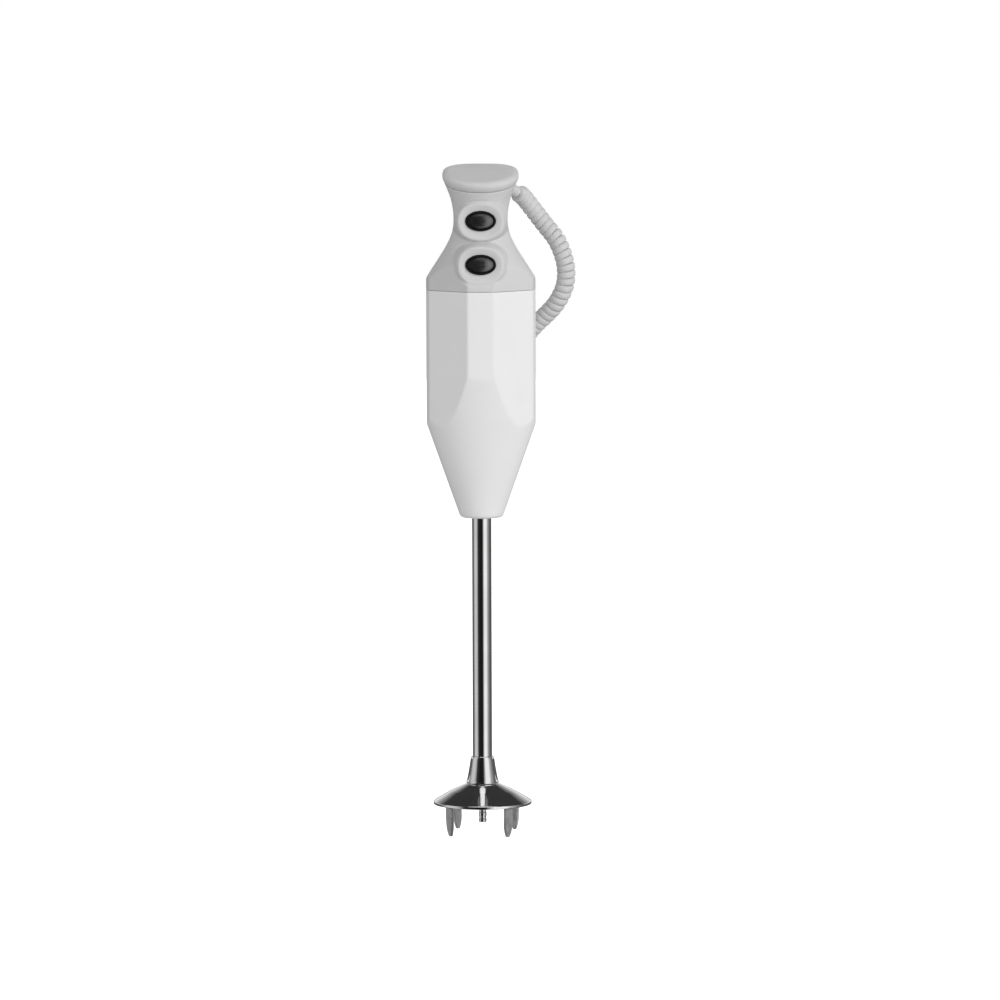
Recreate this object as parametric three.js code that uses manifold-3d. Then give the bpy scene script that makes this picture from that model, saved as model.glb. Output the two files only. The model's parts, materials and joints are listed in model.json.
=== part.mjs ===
// Immersion blender: a slim motor housing with two push buttons, a long drive tube and a pronged bell guard.
// Millimetres, +Z up. The origin is on the drive axis, where the head shell meets the motor housing.
// The buttons face -Y, and the drive tip points down.

import * as THREE from 'three';
import { mergeVertices } from 'three/addons/utils/BufferGeometryUtils.js';
import Module from 'manifold-3d';

const wasm = await Module();
wasm.setup();

// ---- driving dimensions -------------------------------------------------------------------------------

const GAP = 0.3; // clearance between two pieces that touch
const FINE = 40; // sides of an outer round shape
const PLAIN = 20; // sides of an inner round shape

// Housing: a ten-sided prism cut by a cone that is oval at its top and round at its lower end.
const PANEL_HALF = 6.8; // half the width of the flat front and back panels
const HALF_DEPTH = 26;
const CORNER = [26.8, 8.8]; // where a slanted panel meets a side
const HALF_WIDTH = 28.3;
const WALL = 2.3;
const HOUSING_FOOT = -117.8;
const FOOT_RADIUS = 10.9; // of the cone at the housing's foot
const CONE_SLOPE_X = 0.355;
const CONE_SLOPE_Y = 0.208;

// Head shell: a flared neck whose top is tilted towards the front.
const HEAD_TILT = THREE.MathUtils.degToRad(15.5);
const HEAD_TOP = 55.3;
const HEAD_WALL = 2;
const TILT_START = 20; // height at which the neck begins to lean
const NECK_RINGS = 14;
const BACK_START = 36; // from here up to BACK_END the neck's back is drawn in towards a flat
const BACK_END = 50;
const BACK_DEPTH = 0.77; // depth of the squared back, as a share of the radius
const BACK_POWER = 3.2;
const NECK = [
  [0.15, 29.4], [3.4, 29.3], [8, 26.9], [15.8, 21.9], [22.5, 17.8], [28.3, 15.1],
  [34, 14], [40, 14.1], [47, 15.4], [52, 17.2], [HEAD_TOP, 18.6],
]; // height and radius

// Buttons, at [height, front face of the boss].
const BUTTONS = { upper: [36, -17.6], lower: [14, -25] };
const BUTTON_HALF = [6.7, 4.05]; // half width and half height
const SEAL_WIDTH = 0.8;
const BUTTON_DEPTH = 4;
const BUTTON_PROUD = 0.7;
const BOSS_HALF = [12.2, 9.9]; // of the raised pad round each button
const STEM_RADIUS = 1.8;
const SWITCH_FRONT = -9.3;
const PLUNGER_PROUD = 2;

// Drive line, as heights on the axis.
const MOTOR_SHAFT_RADIUS = 2;
const DRIVE_RADIUS = 2.05;
const DRIVE_TIP = -276.5;
const TUBE_RADIUS = 5;
const TUBE_BORE = 4.2;
const TUBE_TOP = -96;
const TUBE_FOOT = -249.5;
const STATOR = [-53, -27];
const SCREW_PLACE = 17.9; // distance of a motor screw from the axis

// Bell guard
const BELL_TOP = -256.1;
const BELL_RADIUS = 25.4;
const BELL_FOOT = -266.8;
const PRONG_COUNT = 4;
const PRONG_FIRST = THREE.MathUtils.degToRad(38);
const PRONG_RADIUS = 21.7;
const PRONG_FOOT = -282.1;
const PRONG_LEAN = 0.8; // how far a prong's tip leans in towards the axis
const PRONG_THICKNESS = 1.7;

// Cord
const CURL_DIAMETER = 9.6; // outer diameter of the curled cord
const WIRE_DIAMETER = 4.2;
const GLAND_ROOT = new THREE.Vector3(10.7, 12.1, 53.2);
const GLAND_DIRECTION = new THREE.Vector3(0.62, 0.7, -0.35).normalize();
const GLAND_LENGTH = 13;
const CURL_ROUTE = [
  [19.1, 21.6, 48.4], [21.1, 24.2, 47.1], [23.7, 26.5, 44.1], [28.0, 27.7, 38.4], [33.2, 27.0, 31.6],
  [38.6, 25.6, 24.8], [42.1, 24.6, 17.4], [44.0, 24.2, 9.6], [43.8, 24.6, 1.8], [41.7, 25.6, -4.4],
  [38.4, 27.2, -10.0], [33.8, 29.4, -15.2], [28.2, 31.4, -20.6], [22.4, 32.8, -27.6], [16.8, 33.0, -35.6],
  [13.4, 33.0, -45.0], [12.4, 33.0, -56.0], [12.4, 33.0, -68.0], [11.4, 33.0, -78.0], [7.0, 33.0, -86.6],
  [0.0, 33.0, -90.0], [-7.0, 33.0, -86.6], [-11.4, 33.0, -78.0], [-12.4, 33.0, -68.0], [-12.4, 33.0, -50.0],
  [-12.4, 33.0, -32.0], [-12.4, 33.0, -14.0], [-12.4, 33.2, 2.0], [-10.5, 34.4, 12.0], [-4.5, 37.8, 19.3],
  [3.5, 41.8, 20.3], [9.5, 43.8, 13.5], [11.2, 44.2, 4.0],
];
const TAIL_ROUTE = [
  [11.3, 44.3, 3.2], [10.8, 44.6, -3.0], [8.4, 45.0, -10.0], [5.0, 45.2, -16.6], [1.8, 45.3, -22.6],
  [0.3, 45.3, -27.0], [0.0, 45.3, -29.7],
];
const PLUG_DEPTH = 45.3; // how far behind the drive axis the plug lies
const PLUG_HALF = [17.6, 6.8];
const PLUG_TOP = -48;
const PLUG_FOOT = -84;
const PLUG_PIN_PLACE = 9.3;
const PLUG_PIN_RADIUS = 2;
const PLUG_PIN_LENGTH = 19;

// ---- finishes -----------------------------------------------------------------------------------------

const FINISHES = {
  white_plastic: [0xe9e9e9, 0.42, 0],
  grey_plastic: [0xb9b9ba, 0.5, 0],
  black_plastic: [0x1d1d1e, 0.45, 0],
  black_rubber: [0x141414, 0.75, 0],
  polished_steel: [0xc9cbcd, 0.12, 1],
  cast_steel: [0x9fa2a5, 0.3, 1],
  lamination: [0x6c6f74, 0.5, 1],
  copper: [0xb06a3c, 0.35, 1],
  brass: [0xc2a25a, 0.35, 1],
  carbon: [0x2b2b2d, 0.8, 0],
  circuit_board: [0x8a6d3f, 0.6, 0],
  film_yellow: [0xd8b23c, 0.5, 0],
  cord_grey: [0xd2d0d1, 0.5, 0],
  tie_black: [0x222222, 0.8, 0],
};

// ---- solids -------------------------------------------------------------------------------------------

// A closed three.js geometry as a solid, turned so that its faces point out.
function solid(geometry) {
  const bare = geometry.clone();
  bare.deleteAttribute('normal');
  bare.deleteAttribute('uv');
  const merged = mergeVertices(bare, 1e-4);
  const at = merged.attributes.position;
  const corner = (i) => new THREE.Vector3().fromBufferAttribute(at, i);
  let triangles = [];
  let volume = 0;
  for (let i = 0; i < merged.index.count; i += 3) {
    const [a, b, c] = [0, 1, 2].map((k) => merged.index.getX(i + k));
    if (a === b || b === c || c === a) continue;
    triangles.push(a, b, c);
    volume += corner(a).dot(corner(b).cross(corner(c)));
  }
  if (volume < 0) triangles = triangles.reverse();
  const mesh = new wasm.Mesh({
    numProp: 3,
    vertProperties: new Float32Array(at.array),
    triVerts: new Uint32Array(triangles),
  });
  return new wasm.Manifold(mesh);
}

function geometryOf(shape) {
  const mesh = shape.getMesh();
  const geometry = new THREE.BufferGeometry();
  geometry.setAttribute('position', new THREE.BufferAttribute(new Float32Array(mesh.vertProperties), 3));
  geometry.setIndex(new THREE.BufferAttribute(new Uint32Array(mesh.triVerts), 1));
  geometry.computeVertexNormals();
  return geometry;
}

// A profile of [radius, height] turned about the Z axis.
function turned(profile, sides = PLAIN) {
  const points = profile.map(([radius, height]) => new THREE.Vector2(radius, height));
  return new THREE.LatheGeometry(points, sides).rotateX(Math.PI / 2);
}

const rod = (radius, low, high, sides = PLAIN) =>
  turned([[0, low], [radius, low], [radius, high], [0, high]], sides);

const ring = (outer, inner, low, high, sides = PLAIN) =>
  turned([[inner, low], [outer, low], [outer, high], [inner, high], [inner, low]], sides);

function block(low, high) {
  const size = low.map((v, i) => high[i] - v);
  const middle = low.map((v, i) => (v + high[i]) / 2);
  return new THREE.BoxGeometry(...size).translate(...middle);
}

// A flat outline raised from one height to another.
function raised(outline, low, high, bevel) {
  const shape = new THREE.Shape(outline.map(([x, y]) => new THREE.Vector2(x, y)));
  const options = { depth: high - low, bevelEnabled: false, steps: 1 };
  if (bevel) {
    Object.assign(options, {
      depth: high - low - 2 * bevel, bevelEnabled: true, bevelThickness: bevel,
      bevelSize: bevel, bevelOffset: -bevel, bevelSegments: 2,
    });
  }
  return new THREE.ExtrudeGeometry(shape, options).translate(0, 0, low + (bevel ?? 0));
}

// The same, but facing the front: the outline lies in X and Z, and the solid runs from back to front in Y.
const fronted = (outline, back, front, bevel) =>
  raised(outline, -back, -front, bevel).rotateX(Math.PI / 2);

// A rounded outline: power 2 is an ellipse, and a higher power is squarer.
function oval(halfX, halfY, power = 2, count = 28) {
  return Array.from({ length: count }, (_, i) => {
    const angle = (2 * Math.PI * i) / count;
    const [c, s] = [Math.cos(angle), Math.sin(angle)];
    return [
      halfX * Math.sign(c) * Math.abs(c) ** (2 / power),
      halfY * Math.sign(s) * Math.abs(s) ** (2 / power),
    ];
  });
}

// Moves every corner of a geometry by a rule.
function reshaped(geometry, rule) {
  const at = geometry.attributes.position;
  for (let i = 0; i < at.count; i += 1) {
    const p = new THREE.Vector3().fromBufferAttribute(at, i);
    rule(p);
    at.setXYZ(i, p.x, p.y, p.z);
  }
  return geometry;
}

function tube(route, diameter, sides, steps) {
  const curve = new THREE.CatmullRomCurve3(route.map((p) => new THREE.Vector3(...p)));
  const section = new THREE.Shape(
    oval(diameter / 2, diameter / 2, 2, sides).map(([x, y]) => new THREE.Vector2(x, y)),
  );
  return new THREE.ExtrudeGeometry(section, { steps, extrudePath: curve, bevelEnabled: false });
}

// ---- the assembly -------------------------------------------------------------------------------------

const blender = new THREE.Group();

function add(name, finish, shape, parent = blender) {
  const [color, roughness, metalness] = FINISHES[finish];
  const geometry = shape instanceof THREE.BufferGeometry ? geometryOf(solid(shape)) : geometryOf(shape);
  const mesh = new THREE.Mesh(geometry, new THREE.MeshStandardMaterial({ color, roughness, metalness }));
  mesh.name = name;
  parent.add(mesh);
  return mesh;
}

// ---- housing ------------------------------------------------------------------------------------------

// The ten-sided plan, drawn in by a wall thickness.
function plan(inset) {
  const [cornerX, cornerY] = CORNER;
  const quarter = [[PANEL_HALF, HALF_DEPTH], [cornerX, cornerY]];
  const corners = [
    ...quarter.map(([x, y]) => [x, -y]), [HALF_WIDTH, 0], ...quarter.reverse(),
    ...quarter.reverse().map(([x, y]) => [-x, y]), [-HALF_WIDTH, 0],
    ...quarter.reverse().map(([x, y]) => [-x, -y]),
  ];
  const shrink = [1 - inset / HALF_WIDTH, 1 - inset / HALF_DEPTH];
  return corners.map(([x, y]) => [x * shrink[0], y * shrink[1]]);
}

const coneX = (height) => FOOT_RADIUS + CONE_SLOPE_X * (height - HOUSING_FOOT);
const coneY = (height) => FOOT_RADIUS + CONE_SLOPE_Y * (height - HOUSING_FOOT);

// The oval cone between two heights, with a rounded lower edge.
function housingCone(inset, foot, top) {
  const edge = 1.6;
  const spans = 4;
  const rise = (top - foot - edge) / spans;
  const heights = [foot, foot + 0.2 * edge];
  const draw = [edge, 0.5 * edge];
  for (let i = 0; i <= spans; i += 1) {
    heights.push(foot + edge + i * rise);
    draw.push(0);
  }
  const profile = heights.map((height, i) => [coneX(height) - inset - draw[i], height]);
  const cone = turned([[0, foot], ...profile, [0, top]], FINE);
  return reshaped(cone, (p) => {
    p.y *= (coneY(p.z) - inset) / (coneX(p.z) - inset);
  });
}

function housingShell() {
  const top = -GAP / 2;
  const outer = solid(raised(plan(0), HOUSING_FOOT, top)).intersect(solid(housingCone(0, HOUSING_FOOT, top)));
  const innerFoot = HOUSING_FOOT + 2;
  const inner = solid(raised(plan(WALL), innerFoot, top + 1))
    .intersect(solid(housingCone(WALL, innerFoot, top + 1)));
  const outlet = solid(rod(TUBE_RADIUS + GAP, HOUSING_FOOT - 1, innerFoot + 1, 32));
  return outer.subtract(inner).subtract(outlet);
}

// ---- head ---------------------------------------------------------------------------------------------

// Leans the top of the neck forwards, so that its upper face is tilted.
function lean(p) {
  const share = THREE.MathUtils.smoothstep(p.z, TILT_START, HEAD_TOP);
  p.z += p.y * Math.tan(HEAD_TILT) * share;
}

// Squares the back of a round form by a share from 0 to 1.
function squareBack(p, share) {
  if (p.y <= 0) return;
  const radius = Math.hypot(p.x, p.y);
  const x = Math.sign(p.x) * radius * (Math.abs(p.x) / radius) ** (2 / BACK_POWER);
  const y = radius * BACK_DEPTH * (p.y / radius) ** (2 / BACK_POWER);
  p.x += (x - p.x) * share;
  p.y += (y - p.y) * share;
}

function neckForm(inset, low, high) {
  const curve = new THREE.SplineCurve(NECK.map(([height, radius]) => new THREE.Vector2(radius, height)));
  const wall = curve.getPoints(NECK_RINGS).map((p) => [p.x - inset, p.y]);
  wall[0][1] = low;
  wall[wall.length - 1][1] = high;
  return reshaped(turned([[0, low], ...wall, [0, high]], FINE), (p) => {
    squareBack(p, THREE.MathUtils.smoothstep(p.z, BACK_START, BACK_END));
    lean(p);
  });
}

function glandTurn(geometry) {
  const turn = new THREE.Quaternion().setFromUnitVectors(new THREE.Vector3(0, 0, 1), GLAND_DIRECTION);
  return geometry.applyQuaternion(turn).translate(...GLAND_ROOT.toArray());
}

const sealHalf = BUTTON_HALF.map((half) => half + GAP + SEAL_WIDTH);

function headShell() {
  const dishHalf = [9.8, 7.2];
  const dishDepth = 0.8;
  let shell = solid(neckForm(0, GAP / 2, HEAD_TOP)).intersect(solid(raised(plan(0), 0, HEAD_TOP + 10)));
  for (const [height, front] of Object.values(BUTTONS)) {
    shell = shell.add(solid(fronted(oval(...BOSS_HALF, 2.5), -4, front, 1.8).translate(0, 0, height)));
  }
  const plug = solid(raised(plan(HEAD_WALL), -2, HEAD_TOP + 10));
  shell = shell.subtract(solid(neckForm(HEAD_WALL, -1, HEAD_TOP + 1)).intersect(plug));
  for (const [height, front] of Object.values(BUTTONS)) {
    const dish = fronted(oval(...dishHalf), front + dishDepth, front - 4).translate(0, 0, height);
    const well = fronted(oval(...sealHalf.map((half) => half + GAP)), -4, front - 4).translate(0, 0, height);
    shell = shell.subtract(solid(dish)).subtract(solid(well));
  }
  const glandHole = solid(glandTurn(rod(3.5, -8, 6))).add(solid(glandTurn(rod(4.3, 1.1, 6))));
  return shell.subtract(glandHole);
}

function topCap() {
  const lid = turned([
    [0, 0], [18.5, 0], [19.3, 1.3], [19.7, 2.8], [19.5, 3.9], [18.8, 4.7], [17.6, 5.1], [16.4, 5.2], [0, 5.2],
  ], FINE);
  const lip = ring(14.4, 12.9, -0.8, 1, FINE);
  return [lid, lip]
    .map((form) => solid(reshaped(form, (p) => squareBack(p, 1))))
    .reduce((all, one) => all.add(one));
}

const capFrame = new THREE.Group();
capFrame.position.set(0, 0, HEAD_TOP + GAP);
capFrame.rotation.x = HEAD_TILT;
blender.add(capFrame);

add('housing_shell', 'white_plastic', housingShell());
add('head_shell', 'grey_plastic', headShell());
add('top_cap', 'grey_plastic', topCap(), capFrame);

// ---- buttons and switches -----------------------------------------------------------------------------

for (const [side, [height, front]] of Object.entries(BUTTONS)) {
  const face = front - BUTTON_PROUD;
  const stemEnd = SWITCH_FRONT - PLUNGER_PROUD - GAP;
  const cap = solid(fronted(oval(...BUTTON_HALF), face + BUTTON_DEPTH, face, 0.7));
  const stem = solid(fronted(oval(STEM_RADIUS, STEM_RADIUS, 2, 12), stemEnd, face + BUTTON_DEPTH - 1));
  add(`${side}_button`, 'black_plastic', cap.add(stem).translate([0, 0, height]));

  const sealOuter = solid(fronted(oval(...sealHalf), front + 3, front - 0.2));
  const sealInner = solid(fronted(oval(...BUTTON_HALF.map((half) => half + GAP)), front + 4, front - 1));
  add(`${side}_button_seal`, 'black_rubber', sealOuter.subtract(sealInner).translate([0, 0, height]));

  const switchHalf = [7, 4.2];
  const switchBack = SWITCH_FRONT + 6;
  const bore = solid(fronted(oval(1.3, 1.3, 2, 12), SWITCH_FRONT + 4.5, SWITCH_FRONT - 1));
  const [halfX, halfZ] = switchHalf;
  const box = solid(block([-halfX, SWITCH_FRONT, -halfZ], [halfX, switchBack, halfZ]));
  add(`${side}_switch`, 'black_plastic', box.subtract(bore).translate([0, 0, height]));

  const plunger = fronted(oval(1, 1, 2, 12), SWITCH_FRONT + 1.5, SWITCH_FRONT - PLUNGER_PROUD);
  add(`${side}_switch_plunger`, 'brass', plunger.translate(0, 0, height));
}

const CARRIER_BACK = -1.5;
add('switch_carrier', 'circuit_board', block([-8.5, SWITCH_FRONT + 6 + GAP, 3], [8.5, CARRIER_BACK, 47]));
add('suppression_capacitor', 'film_yellow', block([-6, CARRIER_BACK + GAP, 20], [6, CARRIER_BACK + 6, 30]));
add('speed_diode', 'black_plastic', rod(1.5, 34, 42, 12).translate(-4, CARRIER_BACK + 2.5, 0));
add('cord_clamp', 'black_plastic', block([2, CARRIER_BACK + GAP, 38], [8, CARRIER_BACK + 5, 43]));

// ---- motor --------------------------------------------------------------------------------------------

const shaftBore = MOTOR_SHAFT_RADIUS + GAP;

// Both motor screws stand on one diagonal of the stator.
const screwPlaces = [1, -1].map((side) => {
  const across = side * SCREW_PLACE * Math.SQRT1_2;
  return [across, across];
});
const SCREW_RADIUS = 1.25;
const screwBores = screwPlaces
  .map(([x, y]) => solid(rod(SCREW_RADIUS + GAP, -70, 0, 12).translate(x, y, 0)))
  .reduce((all, one) => all.add(one));

function statorCore() {
  const [low, high] = STATOR;
  const bore = solid(rod(12, low - 1, high + 1, 32));
  const window = solid(block([-16.5, -6.5, low - 1], [16.5, 6.5, high + 1]));
  return solid(rod(20.3, low, high, 32)).subtract(bore).subtract(window).subtract(screwBores);
}

// A saddle coil: half a ring whose middle is cut away, which leaves two legs and two end turns.
function fieldCoil(side) {
  const [low, high] = [STATOR[0] - 6, STATOR[1] + 6];
  const half = solid(ring(14.8, 12.4, low, high, 32))
    .intersect(solid(block([-20, 0.3, low], [20, 20, high])));
  const pole = solid(block([-20, 6.2, low + 3.6], [20, 20, high - 3.6]));
  return half.subtract(pole).scale([1, side, 1]);
}

function armatureCore() {
  const slots = 12;
  const outline = [];
  for (let i = 0; i < slots; i += 1) {
    for (const [radius, share] of [[11.4, -0.36], [11.4, 0], [11.4, 0.36], [8.2, 0.42], [8.2, 0.58]]) {
      const angle = (2 * Math.PI * (i + share)) / slots;
      outline.push([radius * Math.cos(angle), radius * Math.sin(angle)]);
    }
  }
  return solid(raised(outline, ...STATOR)).subtract(solid(rod(shaftBore, STATOR[0] - 1, STATOR[1] + 1)));
}

function windingEnd(from, to) {
  const step = (to - from) / 4;
  return turned([
    [shaftBore + 1, from], [10.4, from], [10.6, from + 2 * step], [9, from + 3.5 * step],
    [6.5, to], [shaftBore + 1, to], [shaftBore + 1, from],
  ]);
}

// A strap across the motor with a seat for a bearing and a post at each screw.
function bridge(strap, seat, bearing, posts) {
  const bar = solid(block([-20.4, -4, strap[0]], [20.4, 4, strap[1]]).rotateZ(Math.PI / 4));
  const pocket = solid(rod(5.8, bearing[0] - GAP, bearing[1] + GAP));
  const through = solid(rod(shaftBore + 0.6, seat[0] - 1, seat[1] + 1));
  let whole = bar.add(solid(rod(7.6, ...seat)));
  for (const [x, y] of screwPlaces) {
    whole = whole.add(solid(rod(2.5, ...posts, 16).translate(x, y, 0)));
  }
  return whole.subtract(pocket).subtract(through).subtract(screwBores);
}

function coolingFan() {
  const [low, high] = [-77, -69.5];
  const blades = 8;
  let fan = solid(rod(4.5, low, high)).add(solid(rod(15, high - 1.2, high, 32)));
  for (let i = 0; i < blades; i += 1) {
    const blade = block([4, -0.5, low + 1], [14.6, 0.5, high - 0.5]).rotateZ((2 * Math.PI * i) / blades);
    fan = fan.add(solid(blade));
  }
  return fan.subtract(solid(rod(shaftBore, low - 1, high + 1)));
}

add('stator_core', 'lamination', statorCore());
add('field_coil_front', 'copper', fieldCoil(-1));
add('field_coil_back', 'copper', fieldCoil(1));
add('armature_core', 'lamination', armatureCore());
add('armature_winding_upper', 'copper', windingEnd(STATOR[1] + GAP, STATOR[1] + 4.6));
add('armature_winding_lower', 'copper', windingEnd(STATOR[0] - GAP, STATOR[0] - 4.6));
add('commutator', 'copper', ring(6, shaftBore, -20, -10.5));
add('motor_shaft', 'polished_steel', rod(MOTOR_SHAFT_RADIUS, -84, 0.5));
add('upper_bearing', 'brass', ring(5.5, shaftBore, -6.2, -2));
add('upper_bridge', 'cast_steel', bridge([-9, -7], [-9, -1.5], [-6.2, 0], [STATOR[1] + GAP, -7]));
add('lower_bearing', 'brass', ring(5.5, shaftBore, -67, -63.2));
add('lower_bridge', 'cast_steel', bridge([-63, -61], [-67.5, -61], [-69, -63.2], [-61, STATOR[0] - GAP]));
add('cooling_fan', 'white_plastic', coolingFan());

for (const [index, [x, y]] of screwPlaces.entries()) {
  const head = solid(rod(2.4, -7 + GAP, -4.6, 16));
  const shank = solid(rod(SCREW_RADIUS, -66, -6, 12));
  add(`motor_screw_${index + 1}`, 'polished_steel', head.add(shank).translate([x, y, 0]));
}

const BRUSH_MIDDLE = -15.2;
for (const [name, side] of [['front', -1], ['back', 1]]) {
  const reach = (near, far) => (side < 0 ? [-far, -near] : [near, far]);
  const bar = (half, near, far) => {
    const [low, high] = reach(near, far);
    return block([-half[0], low, BRUSH_MIDDLE - half[1]], [half[0], high, BRUSH_MIDDLE + half[1]]);
  };
  const holder = solid(bar([3.2, 3.6], 7.5, 17)).subtract(solid(bar([2.2, 2.6], 7, 18)));
  add(`brush_holder_${name}`, 'brass', holder);
  add(`carbon_brush_${name}`, 'carbon', bar([1.9, 2.3], 6.3, 13));
}

// ---- coupling, drive shaft and tube -------------------------------------------------------------------

function driveShaft() {
  const groove = DRIVE_RADIUS - 0.25;
  return turned([
    [0, DRIVE_TIP], [DRIVE_RADIUS - 0.4, DRIVE_TIP], [DRIVE_RADIUS, DRIVE_TIP + 0.5],
    [DRIVE_RADIUS, DRIVE_TIP + 1.6], [groove, DRIVE_TIP + 2], [groove, DRIVE_TIP + 2.9],
    [DRIVE_RADIUS, DRIVE_TIP + 3.3], [DRIVE_RADIUS, DRIVE_TIP + 5], [groove, DRIVE_TIP + 5.4],
    [groove, DRIVE_TIP + 6.3], [DRIVE_RADIUS, DRIVE_TIP + 6.7], [DRIVE_RADIUS, -86], [0, -86],
  ]);
}

const driveBore = DRIVE_RADIUS + GAP;
add('shaft_coupling', 'cast_steel', ring(5, driveBore, -93, -79.5));
add('drive_shaft', 'polished_steel', driveShaft());
add('shaft_tube', 'polished_steel', ring(TUBE_RADIUS, TUBE_BORE, TUBE_FOOT, TUBE_TOP, 32));
add('tube_lock_nut', 'brass', solid(raised(oval(9, 9, 2, 6), -108, -100))
  .subtract(solid(rod(TUBE_RADIUS + GAP, -110, -98))));
for (const [name, low, high] of [['upper', -112, -104], ['middle', -184, -178], ['lower', -246, -236]]) {
  add(`${name}_bush`, 'brass', ring(TUBE_BORE - GAP, driveBore, low, high));
}

// ---- guard --------------------------------------------------------------------------------------------

function guardFerrule() {
  return turned([
    [TUBE_RADIUS + GAP, -242], [5.7, -242], [6.1, -243], [6.75, -247.4], [7.5, -251.6], [8.1, -254.4],
    [8.5, -255.2], [8.3, BELL_TOP + GAP], [5.4, BELL_TOP + GAP], [5.4, -251.4], [4.4, -251.4],
    [4.4, -250], [TUBE_RADIUS + GAP, -250], [TUBE_RADIUS + GAP, -242],
  ], FINE);
}

function guardBell() {
  return turned([
    [3.2, BELL_TOP], [8.4, BELL_TOP], [16.6, -260.6], [24.9, -265.2], [BELL_RADIUS, -265.6],
    [BELL_RADIUS, BELL_FOOT + 0.3], [25.1, BELL_FOOT], [23.6, BELL_FOOT], [23.2, -266.3],
    [15.8, -262.3], [8.2, -258.1], [3.2, -258.1], [3.2, BELL_TOP],
  ], FINE);
}

// A flat finger that narrows to a blunt tip and leans in a little.
function guardProng() {
  const top = BELL_FOOT - GAP;
  const length = top - PRONG_FOOT;
  const side = [[2.6, 0], [2.5, 0.5], [2.1, 0.75], [1.4, 0.92], [0.7, 1]];
  const outline = [
    ...side.map(([x, share]) => [x, -share * length]),
    ...side.reverse().map(([x, share]) => [-x, -share * length]),
  ];
  const finger = fronted(outline, PRONG_THICKNESS / 2, -PRONG_THICKNESS / 2);
  return reshaped(finger, (p) => {
    p.y += PRONG_LEAN * (p.z / length) ** 2;
  }).translate(0, -PRONG_RADIUS, top);
}

add('guard_ferrule', 'polished_steel', guardFerrule());
add('guard_bell', 'polished_steel', guardBell());
add('shaft_seal', 'black_rubber', ring(5.1, driveBore, -255.6, -251.7));
for (let i = 0; i < PRONG_COUNT; i += 1) {
  const angle = PRONG_FIRST + (i * 2 * Math.PI) / PRONG_COUNT;
  add(`guard_prong_${i + 1}`, 'cast_steel', guardProng().rotateZ(angle + Math.PI / 2));
}

// ---- cord, strain relief and plug ---------------------------------------------------------------------

add('strain_relief', 'grey_plastic', glandTurn(turned([
  [0, -3.5], [3.2, -3.5], [3.2, 1.4], [3.9, 1.4], [3.7, 4], [2.7, GLAND_LENGTH], [0, GLAND_LENGTH],
])));
add('cord_curl', 'cord_grey', tube(CURL_ROUTE, CURL_DIAMETER, 8, 48));
add('cord_tail', 'cord_grey', tube(TAIL_ROUTE, WIRE_DIAMETER, 8, 12));

function plugBody() {
  const [halfX, halfY] = PLUG_HALF;
  const outline = [[halfX, 0], [halfX - 4.2, halfY], [4.2 - halfX, halfY], [-halfX, 0],
    [4.2 - halfX, -halfY], [halfX - 4.2, -halfY]];
  return reshaped(raised(outline, PLUG_FOOT, PLUG_TOP), (p) => {
    if (p.z > (PLUG_TOP + PLUG_FOOT) / 2) p.x *= 0.62;
  }).translate(0, PLUG_DEPTH, 0);
}

add('plug_body', 'cord_grey', plugBody());
add('plug_sleeve', 'cord_grey', turned([
  [0, PLUG_TOP + GAP], [3.8, PLUG_TOP + GAP], [2.7, -30], [0, -30],
], 16).translate(0, PLUG_DEPTH, 0));
for (const [name, side] of [['left', -1], ['right', 1]]) {
  const tip = PLUG_FOOT - PLUG_PIN_LENGTH;
  const root = PLUG_FOOT - GAP;
  const pin = turned([
    [0, tip], [PLUG_PIN_RADIUS - 0.7, tip], [PLUG_PIN_RADIUS, tip + 1.2], [PLUG_PIN_RADIUS, root], [0, root],
  ], 16);
  add(`plug_pin_${name}`, 'brass', pin.translate(side * PLUG_PIN_PLACE, PLUG_DEPTH, 0));
}

// A strap round both runs of the curled cord and the plug.
function cordTie() {
  const [front, back] = [27, 53.2];
  const thickness = 0.8;
  const half = [19.3, (back - front) / 2];
  const outer = solid(raised(oval(...half, 8, 24), -60, -52));
  const inner = solid(raised(oval(half[0] - thickness, half[1] - thickness, 8, 24), -61, -51));
  return outer.subtract(inner).translate([0, (front + back) / 2, 0]);
}

add('cord_tie', 'tie_black', cordTie());

export default blender;
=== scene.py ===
"""Immersion blender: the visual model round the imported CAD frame.

Shapes are worked out in millimetres and turned into metres when a mesh is made.
The buttons face -Y, the drive axis is Z, and the origin is at the seam between head and housing.
"""

import json
import math

import bmesh
import bpy
from mathutils import Matrix, Quaternion, Vector


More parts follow.
